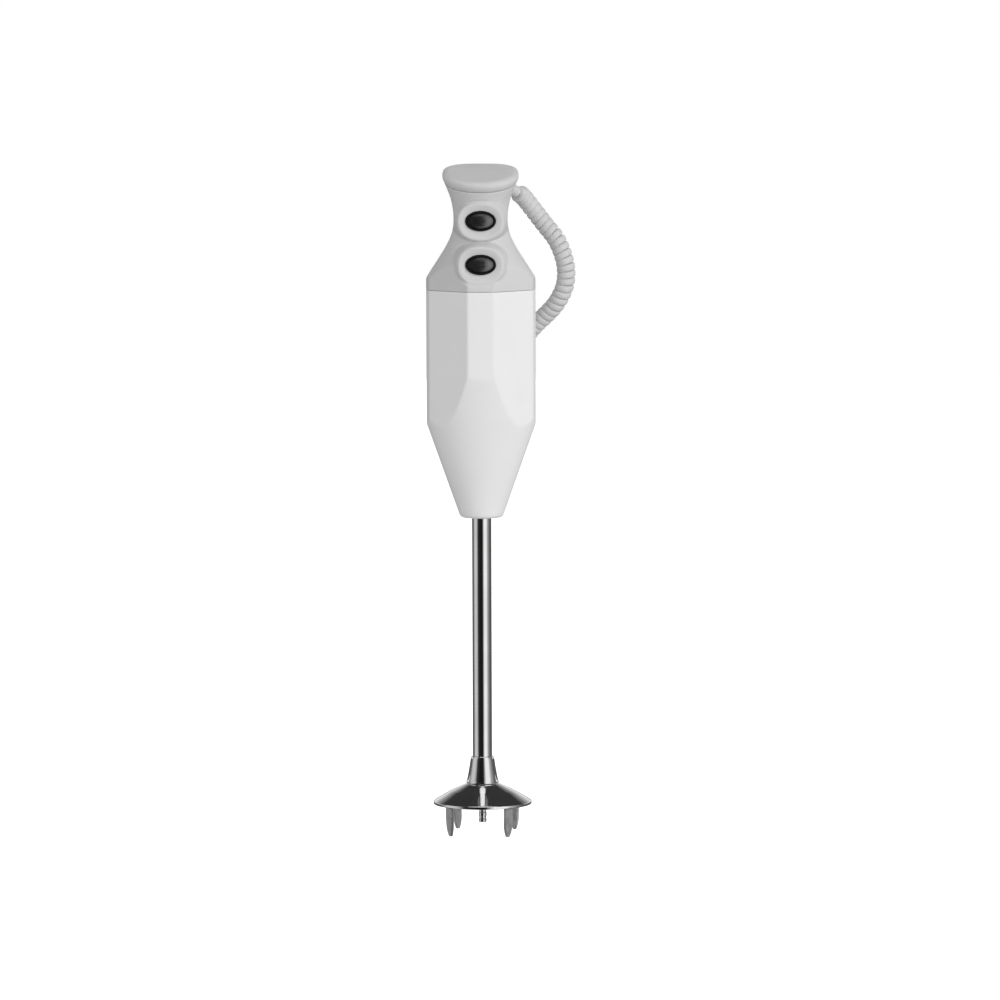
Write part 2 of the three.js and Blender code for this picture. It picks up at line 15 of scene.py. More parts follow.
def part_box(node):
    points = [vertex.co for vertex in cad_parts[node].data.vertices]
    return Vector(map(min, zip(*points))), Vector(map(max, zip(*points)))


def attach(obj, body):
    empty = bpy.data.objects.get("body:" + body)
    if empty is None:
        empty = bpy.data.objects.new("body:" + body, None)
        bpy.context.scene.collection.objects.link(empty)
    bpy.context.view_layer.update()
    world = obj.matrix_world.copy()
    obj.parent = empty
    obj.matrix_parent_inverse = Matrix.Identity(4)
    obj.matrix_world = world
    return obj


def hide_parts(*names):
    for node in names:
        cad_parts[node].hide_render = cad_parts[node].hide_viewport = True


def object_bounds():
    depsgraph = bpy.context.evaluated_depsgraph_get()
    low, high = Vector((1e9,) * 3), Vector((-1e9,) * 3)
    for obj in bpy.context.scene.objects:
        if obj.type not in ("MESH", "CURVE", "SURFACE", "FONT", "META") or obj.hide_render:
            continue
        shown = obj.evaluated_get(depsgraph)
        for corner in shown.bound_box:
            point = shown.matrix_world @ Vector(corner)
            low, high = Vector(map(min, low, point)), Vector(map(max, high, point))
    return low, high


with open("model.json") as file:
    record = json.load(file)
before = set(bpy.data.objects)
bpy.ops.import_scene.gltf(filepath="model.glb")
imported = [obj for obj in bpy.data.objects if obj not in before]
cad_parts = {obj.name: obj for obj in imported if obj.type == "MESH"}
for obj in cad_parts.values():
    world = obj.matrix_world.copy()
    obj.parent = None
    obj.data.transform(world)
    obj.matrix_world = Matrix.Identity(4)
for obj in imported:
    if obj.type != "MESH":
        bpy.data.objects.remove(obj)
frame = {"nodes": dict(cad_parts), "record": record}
cad_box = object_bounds()

MM = 0.001
GAP = 0.3  # clearance between neighbouring pieces

RECORD = frame["record"]
BODY_OF = {node: body for body, nodes in RECORD["behaviour"]["bodies"].items() for node in nodes}
SLOT_OF = {part["node"]: part["material_slot"] for part in RECORD["subparts"]}


def extent(node):
    """Lowest and highest corner of a CAD node, in millimetres."""
    low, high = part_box(node)
    return low / MM, high / MM


# ---- camera ---------------------------------------------------------------------------------------------

CAMERA_PLACE = Vector((0.0095, -3.80, 0.254))
CAMERA_TARGET = Vector((0.0095, 0.0, -0.109))
CAMERA_LENS = 266.4
CAMERA_ROLL = math.radians(-0.19)


def add_camera():
    data = bpy.data.cameras.new("camera")
    data.lens = CAMERA_LENS
    data.sensor_width = 36.0
    data.clip_start = 0.1
    data.clip_end = 50.0
    camera = bpy.data.objects.new("camera", data)
    bpy.context.scene.collection.objects.link(camera)
    camera.location = CAMERA_PLACE
    aim = (CAMERA_TARGET - CAMERA_PLACE).to_track_quat("-Z", "Y")
    camera.rotation_mode = "QUATERNION"
    camera.rotation_quaternion = aim @ Quaternion((0, 0, 1), CAMERA_ROLL)
    bpy.context.scene.camera = camera


add_camera()


# ---- mesh code ------------------------------------------------------------------------------------------

def smoothstep(value, low, high):
    share = min(max((value - low) / (high - low), 0.0), 1.0)
    return share * share * (3 - 2 * share)


def soft_least(a, b, reach):
    """The lesser of a and b, rounded over where they are within reach of each other."""
    share = max(reach - abs(a - b), 0.0) / reach
    return min(a, b) - share * share * reach / 4


def finished(name, mesh, crease):
    mesh.validate()
    mesh.polygons.foreach_set("use_smooth", [True] * len(mesh.polygons))
    mesh.set_sharp_from_angle(angle=math.radians(crease))
    piece = bpy.data.objects.new(name, mesh)
    bpy.context.scene.collection.objects.link(piece)
    return piece


def loft(name, rings, closed=False, crease=40.0):
    """A mesh through rings of points in millimetres. A ring of one point is a pole.

    closed joins the last ring to the first; otherwise an open end gets a fan of faces.
    """
    corners, faces, starts = [], [], []
    for ring in rings:
        starts.append(len(corners))
        corners.extend(Vector(p) * MM for p in ring)
    links = [(i, i + 1) for i in range(len(rings) - 1)]
    if closed:
        links.append((len(rings) - 1, 0))
    for a, b in links:
        size_a, size_b = len(rings[a]), len(rings[b])
        for i in range(max(size_a, size_b)):
            j = (i + 1) % max(size_a, size_b)
            if size_a == 1:
                faces.append((starts[a], starts[b] + j, starts[b] + i))
            elif size_b == 1:
                faces.append((starts[a] + i, starts[a] + j, starts[b]))
            else:
                faces.append((starts[a] + i, starts[a] + j, starts[b] + j, starts[b] + i))
    if not closed:
        for index, flip in ((0, True), (len(rings) - 1, False)):
            size = len(rings[index])
            if size > 1:
                middle = len(corners)
                ring = corners[starts[index]:starts[index] + size]
                corners.append(sum(ring, Vector()) / size)
                for i in range(size):
                    edge = (starts[index] + i, starts[index] + (i + 1) % size)
                    faces.append((edge[1], edge[0], middle) if flip else (edge[0], edge[1], middle))
    mesh = bpy.data.meshes.new(name)
    mesh.from_pydata(corners, [], faces)
    tidy = bmesh.new()
    tidy.from_mesh(mesh)
    bmesh.ops.recalc_face_normals(tidy, faces=tidy.faces)
    tidy.to_mesh(mesh)
    tidy.free()
    return finished(name, mesh, crease)


def rounded(points, radius, steps=4, closed=True):
    """A polygon with each corner rounded off."""
    points = [Vector(p) for p in points]
    result = []
    count = len(points)
    for i, corner in enumerate(points):
        if not closed and i in (0, count - 1):
            result.append(corner)
            continue
        before, after = points[i - 1], points[(i + 1) % count]
        into, out = before - corner, after - corner
        reach = min(radius, 0.45 * into.length, 0.45 * out.length)
        start, end = corner + into.normalized() * reach, corner + out.normalized() * reach
        for step in range(steps + 1):
            t = step / steps
            result.append(start * (1 - t) ** 2 + corner * 2 * t * (1 - t) + end * t * t)
    return result


def turned_rings(profile, sides):
    """Rings for a profile of (radius, height) turned about Z."""
    rings = []
    for radius, height in profile:
        if radius < 1e-6:
            rings.append([(0, 0, height)])
        else:
            turns = [2 * math.pi * i / sides for i in range(sides)]
            rings.append([(radius * math.cos(a), radius * math.sin(a), height) for a in turns])
    return rings


def turned(name, profile, sides=96, closed=True, crease=40.0):
    return loft(name, turned_rings(profile, sides), closed, crease)


def oval(half_x, half_y, power=2.0, count=96):
    points = []
    for i in range(count):
        angle = 2 * math.pi * i / count
        c, s = math.cos(angle), math.sin(angle)
        points.append(Vector((half_x * math.copysign(abs(c) ** (2 / power), c),
                              half_y * math.copysign(abs(s) ** (2 / power), s))))
    return points


def moved(piece, matrix):
    piece.data.transform(matrix)
    return piece


def cut(piece, tool):
    """Cuts the tool's shape out of the piece, and removes the tool."""
    change = piece.modifiers.new("cut", "BOOLEAN")
    change.operation = "DIFFERENCE"
    change.solver = "EXACT"
    change.object = tool
    bpy.context.view_layer.update()
    result = bpy.data.meshes.new_from_object(piece.evaluated_get(bpy.context.evaluated_depsgraph_get()))
    piece.modifiers.clear()
    piece.data = result
    result.name = piece.name
    bpy.data.objects.remove(tool)


# ---- materials ------------------------------------------------------------------------------------------

class Finish:
    """A procedural material: a principled shader whose colour, roughness and bump come from 3-D noise."""

    def __init__(self, name, rough, metal=0.0):
        self.material = bpy.data.materials.new(name)
        self.material.use_nodes = True
        self.nodes = self.material.node_tree.nodes
        self.links = self.material.node_tree.links
        self.shader = self.nodes["Principled BSDF"]
        self.shader.inputs["Roughness"].default_value = rough
        self.shader.inputs["Metallic"].default_value = metal
        self.place = self.nodes.new("ShaderNodeTexCoord").outputs["Object"]
        self.height = None

    def node(self, kind, **values):
        made = self.nodes.new(kind)
        for key, value in values.items():
            made.inputs[key].default_value = value
        return made

    def scaled(self, stretch):
        mapping = self.node("ShaderNodeMapping", Scale=stretch)
        self.links.new(self.place, mapping.inputs["Vector"])
        return mapping.outputs["Vector"]

    def noise(self, scale, detail=3.0, stretch=(1, 1, 1)):
        made = self.node("ShaderNodeTexNoise", Scale=scale, Detail=detail, Roughness=0.55)
        self.links.new(self.scaled(stretch), made.inputs["Vector"])
        return made.outputs["Fac"]

    def wave(self, scale, axis="Z", distortion=0.0):
        made = self.node("ShaderNodeTexWave", Scale=scale, Distortion=distortion)
        made.bands_direction = axis
        self.links.new(self.place, made.inputs["Vector"])
        return made.outputs["Fac"]

    def colours(self, source, dark, light, low=0.35, high=0.65):
        ramp = self.nodes.new("ShaderNodeValToRGB")
        ramp.color_ramp.elements[0].position = low
        ramp.color_ramp.elements[0].color = (*dark, 1)
        ramp.color_ramp.elements[1].position = high
        ramp.color_ramp.elements[1].color = (*light, 1)
        self.links.new(source, ramp.inputs["Fac"])
        self.links.new(ramp.outputs["Color"], self.shader.inputs["Base Color"])

    def roughness(self, source, low, high):
        ranged = self.node("ShaderNodeMapRange")
        ranged.inputs["To Min"].default_value = low
        ranged.inputs["To Max"].default_value = high
        self.links.new(source, ranged.inputs["Value"])
        self.links.new(ranged.outputs["Result"], self.shader.inputs["Roughness"])

    def bump(self, source, depth, strength=1.0):
        """depth is in metres."""
        made = self.node("ShaderNodeBump", Strength=strength, Distance=depth)
        self.links.new(source, made.inputs["Height"])
        if self.height:
            self.links.new(self.height, made.inputs["Normal"])
        self.height = made.outputs["Normal"]
        self.links.new(self.height, self.shader.inputs["Normal"])


def grey(value, tint=(1.0, 1.0, 1.0)):
    return tuple(value * t for t in tint)


def moulded(name, dark, light, rough, grain_depth, grain_scale, tint=(1, 1, 1)):
    """Moulded plastic or rubber: a fine spark-eroded grain and faint cloudiness."""
    finish = Finish(name, rough)
    finish.colours(finish.noise(38.0), grey(dark, tint), grey(light, tint))
    finish.roughness(finish.noise(160.0), rough - 0.06, rough + 0.07)
    finish.bump(finish.noise(grain_scale, 2.0), grain_depth)
    return finish


def white_plastic():
    finish = moulded("white_plastic", 0.87, 0.89, 0.52, 0.000012, 2600.0)
    finish.shader.inputs["Specular IOR Level"].default_value = 0.08
    return finish.material


def grey_plastic():
    finish = moulded("grey_plastic", 0.655, 0.69, 0.5, 0.00003, 1900.0)
    finish.shader.inputs["Specular IOR Level"].default_value = 0.2
    return finish.material


def black_plastic():
    finish = moulded("black_plastic", 0.010, 0.018, 0.3, 0.000015, 1700.0)
    finish.shader.inputs["Specular IOR Level"].default_value = 1.0
    finish.shader.inputs["Coat Weight"].default_value = 1.0
    finish.shader.inputs["Coat Roughness"].default_value = 0.28
    finish.shader.inputs["Coat IOR"].default_value = 2.1
    return finish.material


def black_rubber():
    finish = moulded("black_rubber", 0.004, 0.008, 0.6, 0.00003, 1500.0)
    return finish.material


def polished_steel():
    finish = Finish("polished_steel", 0.09, 1.0)
    finish.colours(finish.noise(60.0), grey(0.80), grey(0.88, (1.0, 0.997, 0.99)))
    finish.roughness(finish.noise(220.0, 4.0, (6, 6, 0.4)), 0.05, 0.13)
    finish.bump(finish.noise(1500.0, 2.0, (1, 1, 0.06)), 0.000002)
    return finish.material


def cast_steel():
    finish = Finish("cast_steel", 0.3, 1.0)
    finish.colours(finish.noise(260.0, 5.0), grey(0.50), grey(0.68))
    finish.roughness(finish.noise(420.0, 4.0), 0.2, 0.4)
    finish.bump(finish.noise(900.0, 3.0), 0.00004)
    return finish.material


def lamination():
    finish = Finish("lamination", 0.45, 1.0)
    sheets = finish.wave(320.0)
    finish.colours(sheets, grey(0.09), grey(0.24), 0.2, 0.6)
    finish.roughness(finish.noise(300.0), 0.35, 0.6)
    finish.bump(sheets, 0.0001)
    return finish.material


def copper():
    finish = Finish("copper", 0.3, 1.0)
    turns = finish.wave(420.0, "DIAGONAL", 2.0)
    finish.colours(turns, (0.30, 0.09, 0.03), (0.78, 0.33, 0.14), 0.15, 0.7)
    finish.roughness(finish.noise(300.0), 0.22, 0.42)
    finish.bump(turns, 0.00015)
    return finish.material


def brass():
    finish = Finish("brass", 0.3, 1.0)
    finish.colours(finish.noise(150.0, 4.0), (0.52, 0.36, 0.12), (0.78, 0.58, 0.24))
    finish.roughness(finish.noise(500.0, 4.0), 0.18, 0.36)
    finish.bump(finish.noise(1400.0, 2.0, (1, 1, 0.1)), 0.000008)
    return finish.material


def carbon():
    finish = Finish("carbon", 0.75)
    finish.colours(finish.noise(700.0, 5.0), grey(0.012), grey(0.05))
    finish.bump(finish.noise(1200.0, 4.0), 0.00005)
    return finish.material


def circuit_board():
    finish = Finish("circuit_board", 0.55)
    finish.colours(finish.noise(900.0, 5.0, (1, 1, 0.3)), (0.18, 0.10, 0.035), (0.34, 0.21, 0.08))
    finish.bump(finish.noise(1600.0), 0.00003)
    return finish.material


def film_yellow():
    finish = Finish("film_yellow", 0.35)
    finish.colours(finish.noise(200.0, 4.0), (0.52, 0.30, 0.02), (0.74, 0.47, 0.05))
    finish.bump(finish.noise(500.0), 0.00006)
    return finish.material


def cord_grey():
    finish = moulded("cord_grey", 0.66, 0.71, 0.48, 0.00004, 1300.0, (1.0, 0.985, 0.985))
    finish.shader.inputs["Sheen Weight"].default_value = 0.1
    return finish.material


def tie_black():
    finish = Finish("tie_black", 0.85)
    weave = finish.node("ShaderNodeTexMagic", Scale=700.0, Distortion=1.2)
    finish.links.new(finish.place, weave.inputs["Vector"])
    finish.colours(weave.outputs["Fac"], grey(0.012), grey(0.05), 0.2, 0.8)
    finish.bump(weave.outputs["Fac"], 0.0003)
    finish.shader.inputs["Sheen Weight"].default_value = 0.3
    return finish.material


MATERIALS = {make.__name__: make() for make in (
    white_plastic, grey_plastic, black_plastic, black_rubber, polished_steel, cast_steel, lamination,
    copper, brass, carbon, circuit_board, film_yellow, cord_grey, tie_black)}


replaced = set()


def stands_for(piece, *nodes):
    """Gives a piece its node's finish and body, and hides the node."""
    slot = SLOT_OF[nodes[0]]
    piece.data.materials.clear()
    piece.data.materials.append(MATERIALS[slot])
    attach(piece, BODY_OF[nodes[0]])
    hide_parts(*nodes)
    replaced.update(nodes)
    return piece


# ---- cord -----------------------------------------------------------------------------------------------

# Both routes are in metres.
CURL_ROUTE = [
    (0.0191, 0.0216, 0.0484), (0.0211, 0.0242, 0.0471), (0.0237, 0.0265, 0.0441),
    (0.0280, 0.0277, 0.0384), (0.0332, 0.0270, 0.0316), (0.0386, 0.0256, 0.0248),
    (0.0421, 0.0246, 0.0174), (0.0440, 0.0242, 0.0096), (0.0438, 0.0246, 0.0018),
    (0.0417, 0.0256, -0.0044), (0.0384, 0.0272, -0.0100), (0.0338, 0.0294, -0.0152),
    (0.0282, 0.0314, -0.0206), (0.0224, 0.0328, -0.0276), (0.0168, 0.0330, -0.0356),
    (0.0134, 0.0330, -0.0450), (0.0124, 0.0330, -0.0560), (0.0124, 0.0330, -0.0680),
    (0.0114, 0.0330, -0.0780), (0.0070, 0.0330, -0.0866), (0.0000, 0.0330, -0.0900),
    (-0.0070, 0.0330, -0.0866), (-0.0114, 0.0330, -0.0780), (-0.0124, 0.0330, -0.0680),
    (-0.0124, 0.0330, -0.0500), (-0.0124, 0.0330, -0.0320), (-0.0124, 0.0330, -0.0140),
    (-0.0124, 0.0332, 0.0020), (-0.0105, 0.0344, 0.0120), (-0.0045, 0.0378, 0.0193),
    (0.0035, 0.0418, 0.0203), (0.0095, 0.0438, 0.0135), (0.0112, 0.0442, 0.0040),
]
TAIL_ROUTE = [
    (0.0113, 0.0443, 0.0032), (0.0108, 0.0446, -0.0030), (0.0084, 0.0450, -0.0100), (0.0050, 0.0452, -0.0166),
    (0.0018, 0.0453, -0.0226), (0.0003, 0.0453, -0.0270), (0.0000, 0.0453, -0.0297),
]
CORD_LENGTH = 1.6
CORD_DIAMETER = 0.0042
CURL_RADIUS = 0.0027  # from the curl's middle to the middle of the wire
POINTS_PER_TURN = 24
OPENING_TURNS = 0.22  # the part of a turn in which the curl opens to its full width
WIRE_SIDES = 16
TAIL_POINTS = 28
WIRE_POWER = 3.6  # above 2, the wire's section is a rounded square
WIRE_NARROW = 0.86  # the section's width along the curl, as a share of the diameter


def through(route, count):
    """Evenly spaced points on one smooth curve through a route."""
    points = [Vector(p) for p in route]
    points = [2 * points[0] - points[1], *points, 2 * points[-1] - points[-2]]
    fine = []
    steps = 24
    for i in range(1, len(points) - 2):
        a, b, c, d = points[i - 1:i + 3]
        for step in range(steps):
            t = step / steps
            fine.append(0.5 * (2 * b + (c - a) * t + (2 * a - 5 * b + 4 * c - d) * t * t
                               + (3 * b - a - 3 * c + d) * t ** 3))
    fine.append(points[-2])
    travelled = [0.0]
    for before, after in zip(fine, fine[1:]):
        travelled.append(travelled[-1] + (after - before).length)
    even, index = [], 0
    for i in range(count):
        wanted = travelled[-1] * i / (count - 1)
        while index < len(fine) - 2 and travelled[index + 1] < wanted:
            index += 1
        span = travelled[index + 1] - travelled[index]
        even.append(fine[index].lerp(fine[index + 1], (wanted - travelled[index]) / span))
    return even, travelled[-1]


def curled(route, wire_length):
    """A helix round a route, with as many turns as the wire's length needs.

    Each point comes with the direction that points out of the curl there.
    """
    route_length = through(route, 2)[1]
    turns = math.sqrt(wire_length ** 2 - route_length ** 2) / (2 * math.pi * CURL_RADIUS)
    spine, _ = through(route, round(turns * POINTS_PER_TURN))
    last = len(spine) - 1
    normal = Vector((0, 0, 1))
    wire, outward = [], []
    for i, middle in enumerate(spine):
        along = (spine[min(i + 1, last)] - spine[max(i - 1, 0)]).normalized()
        normal = (normal - along * normal.dot(along)).normalized()
        across = along.cross(normal)
        angle = 2 * math.pi * turns * i / last
        out = normal * math.cos(angle) + across * math.sin(angle)
        open_up = smoothstep(min(i, last - i) / POINTS_PER_TURN, 0, OPENING_TURNS)
        wire.append(middle + out * CURL_RADIUS * open_up)
        outward.append(out)
    return wire, outward


def cord():
    """The wire, which is curled from the head to the hank's end and straight from there to the plug."""
    tail, tail_length = through(TAIL_ROUTE, TAIL_POINTS)
    wire, outward = curled(CURL_ROUTE, CORD_LENGTH - tail_length)
    wire += tail
    outward += [outward[-1]] * len(tail)
    section = oval(CORD_DIAMETER / 2, WIRE_NARROW * CORD_DIAMETER / 2, WIRE_POWER, WIRE_SIDES)
    rings = []
    out = outward[0]
    for i, place in enumerate(wire):
        along = (wire[min(i + 1, len(wire) - 1)] - wire[max(i - 1, 0)]).normalized()
        if i < len(wire) - len(tail):
            out = outward[i]
        out = (out - along * out.dot(along)).normalized()
        side = along.cross(out)
        rings.append([(place + out * p.x + side * p.y) / MM for p in section])
    return stands_for(loft("power_cord", rings), "cord_curl", "cord_tail"), wire


power_cord, cord_line = cord()


# ---- plug, sleeve and tie -------------------------------------------------------------------------------

def plug():
    low, high = extent("plug_body")
    half_x, half_y = (high.x - low.x) / 2, (high.y - low.y) / 2
    middle_y = (high.y + low.y) / 2
    slant = 4.2
    outline = rounded([(half_x, 0), (half_x - slant, half_y), (slant - half_x, half_y), (-half_x, 0),
                       (slant - half_x, -half_y), (half_x - slant, -half_y)], 2.4, 5)
    top_share = 0.62
    edge = 1.2
    rows = []
    steps = 20
    for i in range(steps + 1):
        rows.append((low.z + edge + (high.z - low.z - 2 * edge) * i / steps, 0.0))
    arc = [math.pi / 2 * i / 4 for i in range(5)]
    foot = [(low.z + edge * (1 - math.cos(a)), edge * (1 - math.sin(a))) for a in arc[:-1]]
    roof = [(high.z - edge * (1 - math.cos(a)), edge * (1 - math.sin(a))) for a in reversed(arc[:-1])]
    grips = 4
    grip_pitch = 3.2
    rings = []
    for z, inset in [*foot, *rows, *roof]:
        share = (z - low.z) / (high.z - low.z)
        narrow = 1 - (1 - top_share) * share
        groove = 0.0
        for i in range(grips):
            groove += 0.35 * math.exp(-(((z - low.z - 16 - i * grip_pitch) / 0.8) ** 2))
        drawn = inset + groove
        rings.append([(p.x * narrow * (1 - drawn / half_x), middle_y + p.y * (1 - drawn / half_y), z)
                      for p in outline])
    return stands_for(loft("plug", rings), "plug_body")


def plug_sleeve():
    low, high = extent("plug_sleeve")
    middle_y = (high.y + low.y) / 2
    profile = [(0, low.z), (3.8, low.z)]
    ribs = 5
    pitch = (high.z - low.z - 2.5) / ribs
    for i in range(ribs):
        base = low.z + 1.6 + i * pitch
        radius = 3.7 - 0.9 * i / ribs
        profile += [(radius, base), (radius - 0.7, base + 0.3)]
        profile += [(radius - 0.7, base + 0.9), (radius, base + 1.2)]
    profile += [(2.75, high.z - 0.3), (2.5, high.z), (0, high.z)]
    piece = turned("plug_boot", rounded(profile, 0.25, 3, closed=False), 48, closed=False)
    return stands_for(moved(piece, Matrix.Translation((0, middle_y * MM, 0))), "plug_sleeve")


def plug_pin(side):
    node = f"plug_pin_{side}"
    low, high = extent(node)
    radius = (high.x - low.x) / 2
    middle = (low + high) / 2
    collar = 9.0  # length of the insulated part next to the plug
    sleeve_end, sleeve_radius = high.z - collar, radius - 0.15
    outline = [(0, low.z), (radius, low.z), (radius, sleeve_end), (sleeve_radius, sleeve_end),
               (sleeve_radius, high.z), (0, high.z)]
    profile = rounded(outline, 0.9, 5, closed=False)
    piece = turned(f"{side}_plug_pin", profile, 40, closed=False)
    return stands_for(moved(piece, Matrix.Translation((middle.x * MM, middle.y * MM, 0))), node)


def tie():
    low, high = extent("cord_tie")
    middle_y = (high.y + low.y) / 2
    thick = 0.8
    outline = oval((high.x - low.x) / 2 - thick / 2, (high.y - low.y) / 2 - thick / 2, 8, 160)
    corners = [(-thick / 2, low.z), (thick / 2, low.z), (thick / 2, high.z), (-thick / 2, high.z)]
    section = rounded(corners, 0.3, 3)
    rings = []
    for i, place in enumerate(outline):
        along = (outline[(i + 1) % len(outline)] - outline[i - 1]).normalized()
        out = Vector((along.y, -along.x))
        rings.append([(place.x + out.x * p.x, middle_y + place.y + out.y * p.x, p.y) for p in section])
    return stands_for(loft("cable_tie", rings, closed=True), "cord_tie")


on_cord = [plug(), plug_sleeve(), plug_pin("left"), plug_pin("right"), tie()]


# ---- housing --------------------------------------------------------------------------------------------

PANEL_HALF = 6.8  # half the width of the flat front and back panels
CORNER = (26.8, 8.8)  # where a slanted panel meets a side
FOOT_RADIUS = 10.9
CONE_SLOPE = (0.355, 0.208)
WALL = 2.3
EDGE = 0.6  # how far an edge between two faces is rounded over
CONE_EDGE = 0.3  # the same, where a panel runs out into the cone
SIDES = 288
SEAM_CLOSED = 0.08  # how far head and housing each reach into the gap between their solids

housing_low, housing_high = extent("housing_shell")


def find_panels():
    """(angle of the outward normal, distance from the axis) for each side of the ten-sided plan."""
    half_width, half_depth = housing_high.x, housing_high.y
    quarter = [(PANEL_HALF, half_depth), CORNER]
    right = [*[(x, -y) for x, y in quarter], (half_width, 0), *reversed(quarter)]
    corners = [*right, *[(-x, y) for x, y in reversed(right)]]
    panels = []
    for (ax, ay), (bx, by) in zip(corners, [*corners[1:], corners[0]]):
        angle = math.atan2(ax - bx, by - ay)
        panels.append((angle, ax * math.cos(angle) + ay * math.sin(angle)))
    return panels


PANELS = find_panels()


def plan_reach(angle, inset):
    """How far the panels reach from the axis in one direction."""
    reach = 100.0
    for facing, distance in PANELS:
        share = math.cos(angle - facing)
        if share > 0.3:
            reach = soft_least(reach, (distance - inset) / share, EDGE)
    return reach


def cone_reach(angle, height, inset):
    rise = height - housing_low.z
    half_x = FOOT_RADIUS + CONE_SLOPE[0] * rise - inset
    half_y = FOOT_RADIUS + CONE_SLOPE[1] * rise - inset
    return 1 / math.hypot(math.cos(angle) / half_x, math.sin(angle) / half_y)


def arc_rows(start, radius, rise, steps=5):
    """(height, inset) down to nothing along a quarter circle, from an edge at height start."""
    angles = [math.pi / 2 * i / steps for i in range(steps)]
    return [(start + rise * radius * (1 - math.cos(a)), radius * (1 - math.sin(a))) for a in angles]


def spaced(low, high, step):
    count = max(round((high - low) / step), 1)
    return [low + (high - low) * i / count for i in range(count + 1)]


ANGLES = [2 * math.pi * i / SIDES for i in range(SIDES)]


def housing():
    foot, top = housing_low.z, housing_high.z + SEAM_CLOSED
    foot_round, top_round, hole = 1.6, 0.3, extent("shaft_tube")[1].x + GAP
    rows = arc_rows(foot, foot_round, 1)
    rows += [(z, 0.0) for z in spaced(foot + foot_round, top - top_round, 0.9)]
    rows += reversed(arc_rows(top, top_round, -1))
    rows += [(z, WALL) for z in spaced(foot + WALL, top, 6.0)[::-1]]
    rings = [[(hole * math.cos(a), hole * math.sin(a), foot) for a in ANGLES]]
    for z, inset in rows:
        ring = []
        for a in ANGLES:
            reach = soft_least(plan_reach(a, inset), cone_reach(a, z, inset), CONE_EDGE)
            ring.append((reach * math.cos(a), reach * math.sin(a), z))
        rings.append(ring)
    rings.append([(hole * math.cos(a), hole * math.sin(a), foot + WALL) for a in ANGLES])
    return stands_for(loft("motor_housing", rings, closed=True, crease=60), "housing_shell")


housing()


# ---- head -----------------------------------------------------------------------------------------------

HEAD_TILT = math.radians(15.5)
HEAD_TOP = 55.3
HEAD_WALL = 2.0
CAP_HEIGHT = 5.2
TILT_START = 20.0
NECK = [(0.15, 29.4), (3.4, 29.3), (8, 26.9), (15.8, 21.9), (22.5, 17.8), (28.3, 15.1),
        (34, 14), (40, 14.1), (47, 15.4), (52, 17.2), (HEAD_TOP, 18.6)]  # height and radius
BACK_RANGE = (36.0, 50.0)  # over these heights the neck's back is drawn in towards a flat
BACK_DEPTH = 0.77
BACK_POWER = 3.2

PAD_HALF = (12.1, 9.9)
PAD_POWER = 2.3
PAD_DROP = 0.4  # the pads' middles lie this far below the buttons'
PAD_CREST = 0.92  # share of the pad's size at which it stands furthest forward
PAD_FALL = 150.0  # how steeply the pad falls away past its crest
PAD_FILLET = 2.8
DISH_DEPTH = 0.9
BUTTON_PROUD = 0.7

GLAND_ROOT = Vector((10.7, 12.1, 53.2))
GLAND_DIRECTION = Vector((0.62, 0.70, -0.35)).normalized()
GLAND_LENGTH = 13.0
GLAND_TURN = (Matrix.Translation(GLAND_ROOT * MM)
              @ Vector((0, 0, 1)).rotation_difference(GLAND_DIRECTION).to_matrix().to_4x4())


def square_back(x, y, share):
    """Squares the back of a round form by a share from 0 to 1."""
    if y <= 0 or share <= 0:
        return x, y
    radius = math.hypot(x, y)
    square_x = math.copysign(radius * (abs(x) / radius) ** (2 / BACK_POWER), x)
    square_y = radius * BACK_DEPTH * (y / radius) ** (2 / BACK_POWER)
    return x + (square_x - x) * share, y + (square_y - y) * share


def neck_radius(height):
    """A smooth curve through the neck's heights and radii."""
    last = len(NECK) - 1
    index = 0
    while index < last - 1 and NECK[index + 1][0] < height:
        index += 1
    (z0, r0), (z1, r1) = NECK[index], NECK[index + 1]

    def slope(i):
        before, after = NECK[max(i - 1, 0)], NECK[min(i + 1, last)]
        return (after[1] - before[1]) / (after[0] - before[0])

    span = z1 - z0
    t = (height - z0) / span
    return ((2 * t ** 3 - 3 * t ** 2 + 1) * r0 + (t ** 3 - 2 * t ** 2 + t) * span * slope(index)
            + (3 * t ** 2 - 2 * t ** 3) * r1 + (t ** 3 - t ** 2) * span * slope(index + 1))


def lean(height, back):
    return height + back * math.tan(HEAD_TILT) * smoothstep(height, TILT_START, HEAD_TOP)


def button_places():
    """Middle height, front of the pad, and the button's half width and half height."""
    places = {}
    for side in ("upper", "lower"):
        low, high = extent(f"{side}_button")
        places[side] = ((low.z + high.z) / 2, low.y + BUTTON_PROUD, high.x, (high.z - low.z) / 2)
    return places


BUTTONS = button_places()


def with_pads(x, y, z):
    """Brings the neck's front forward to a soft raised pad round each button, dished in the middle."""
    for height, front, _, _ in BUTTONS.values():
        away = ((abs(x) / PAD_HALF[0]) ** PAD_POWER
                + (abs(z - height + PAD_DROP) / PAD_HALF[1]) ** PAD_POWER) ** (1 / PAD_POWER)
        level = front + DISH_DEPTH * (1 - smoothstep(away, 0.55, PAD_CREST))
        level += PAD_FALL * max(away - PAD_CREST, 0) ** 2
        y = soft_least(y, level, PAD_FILLET)
        cleared = 1 - smoothstep(away, 0.85, 1.15)
        y += (max(y, level) - y) * cleared
    return y


def head_point(angle, height, inset, outer):
    reach = soft_least(plan_reach(angle, inset), neck_radius(height) - inset, EDGE)
    x, y = square_back(reach * math.cos(angle), reach * math.sin(angle), smoothstep(height, *BACK_RANGE))
    z = lean(height, y)
    if outer and y < 0:
        y = with_pads(x, y, z)
    return (x, y, z)


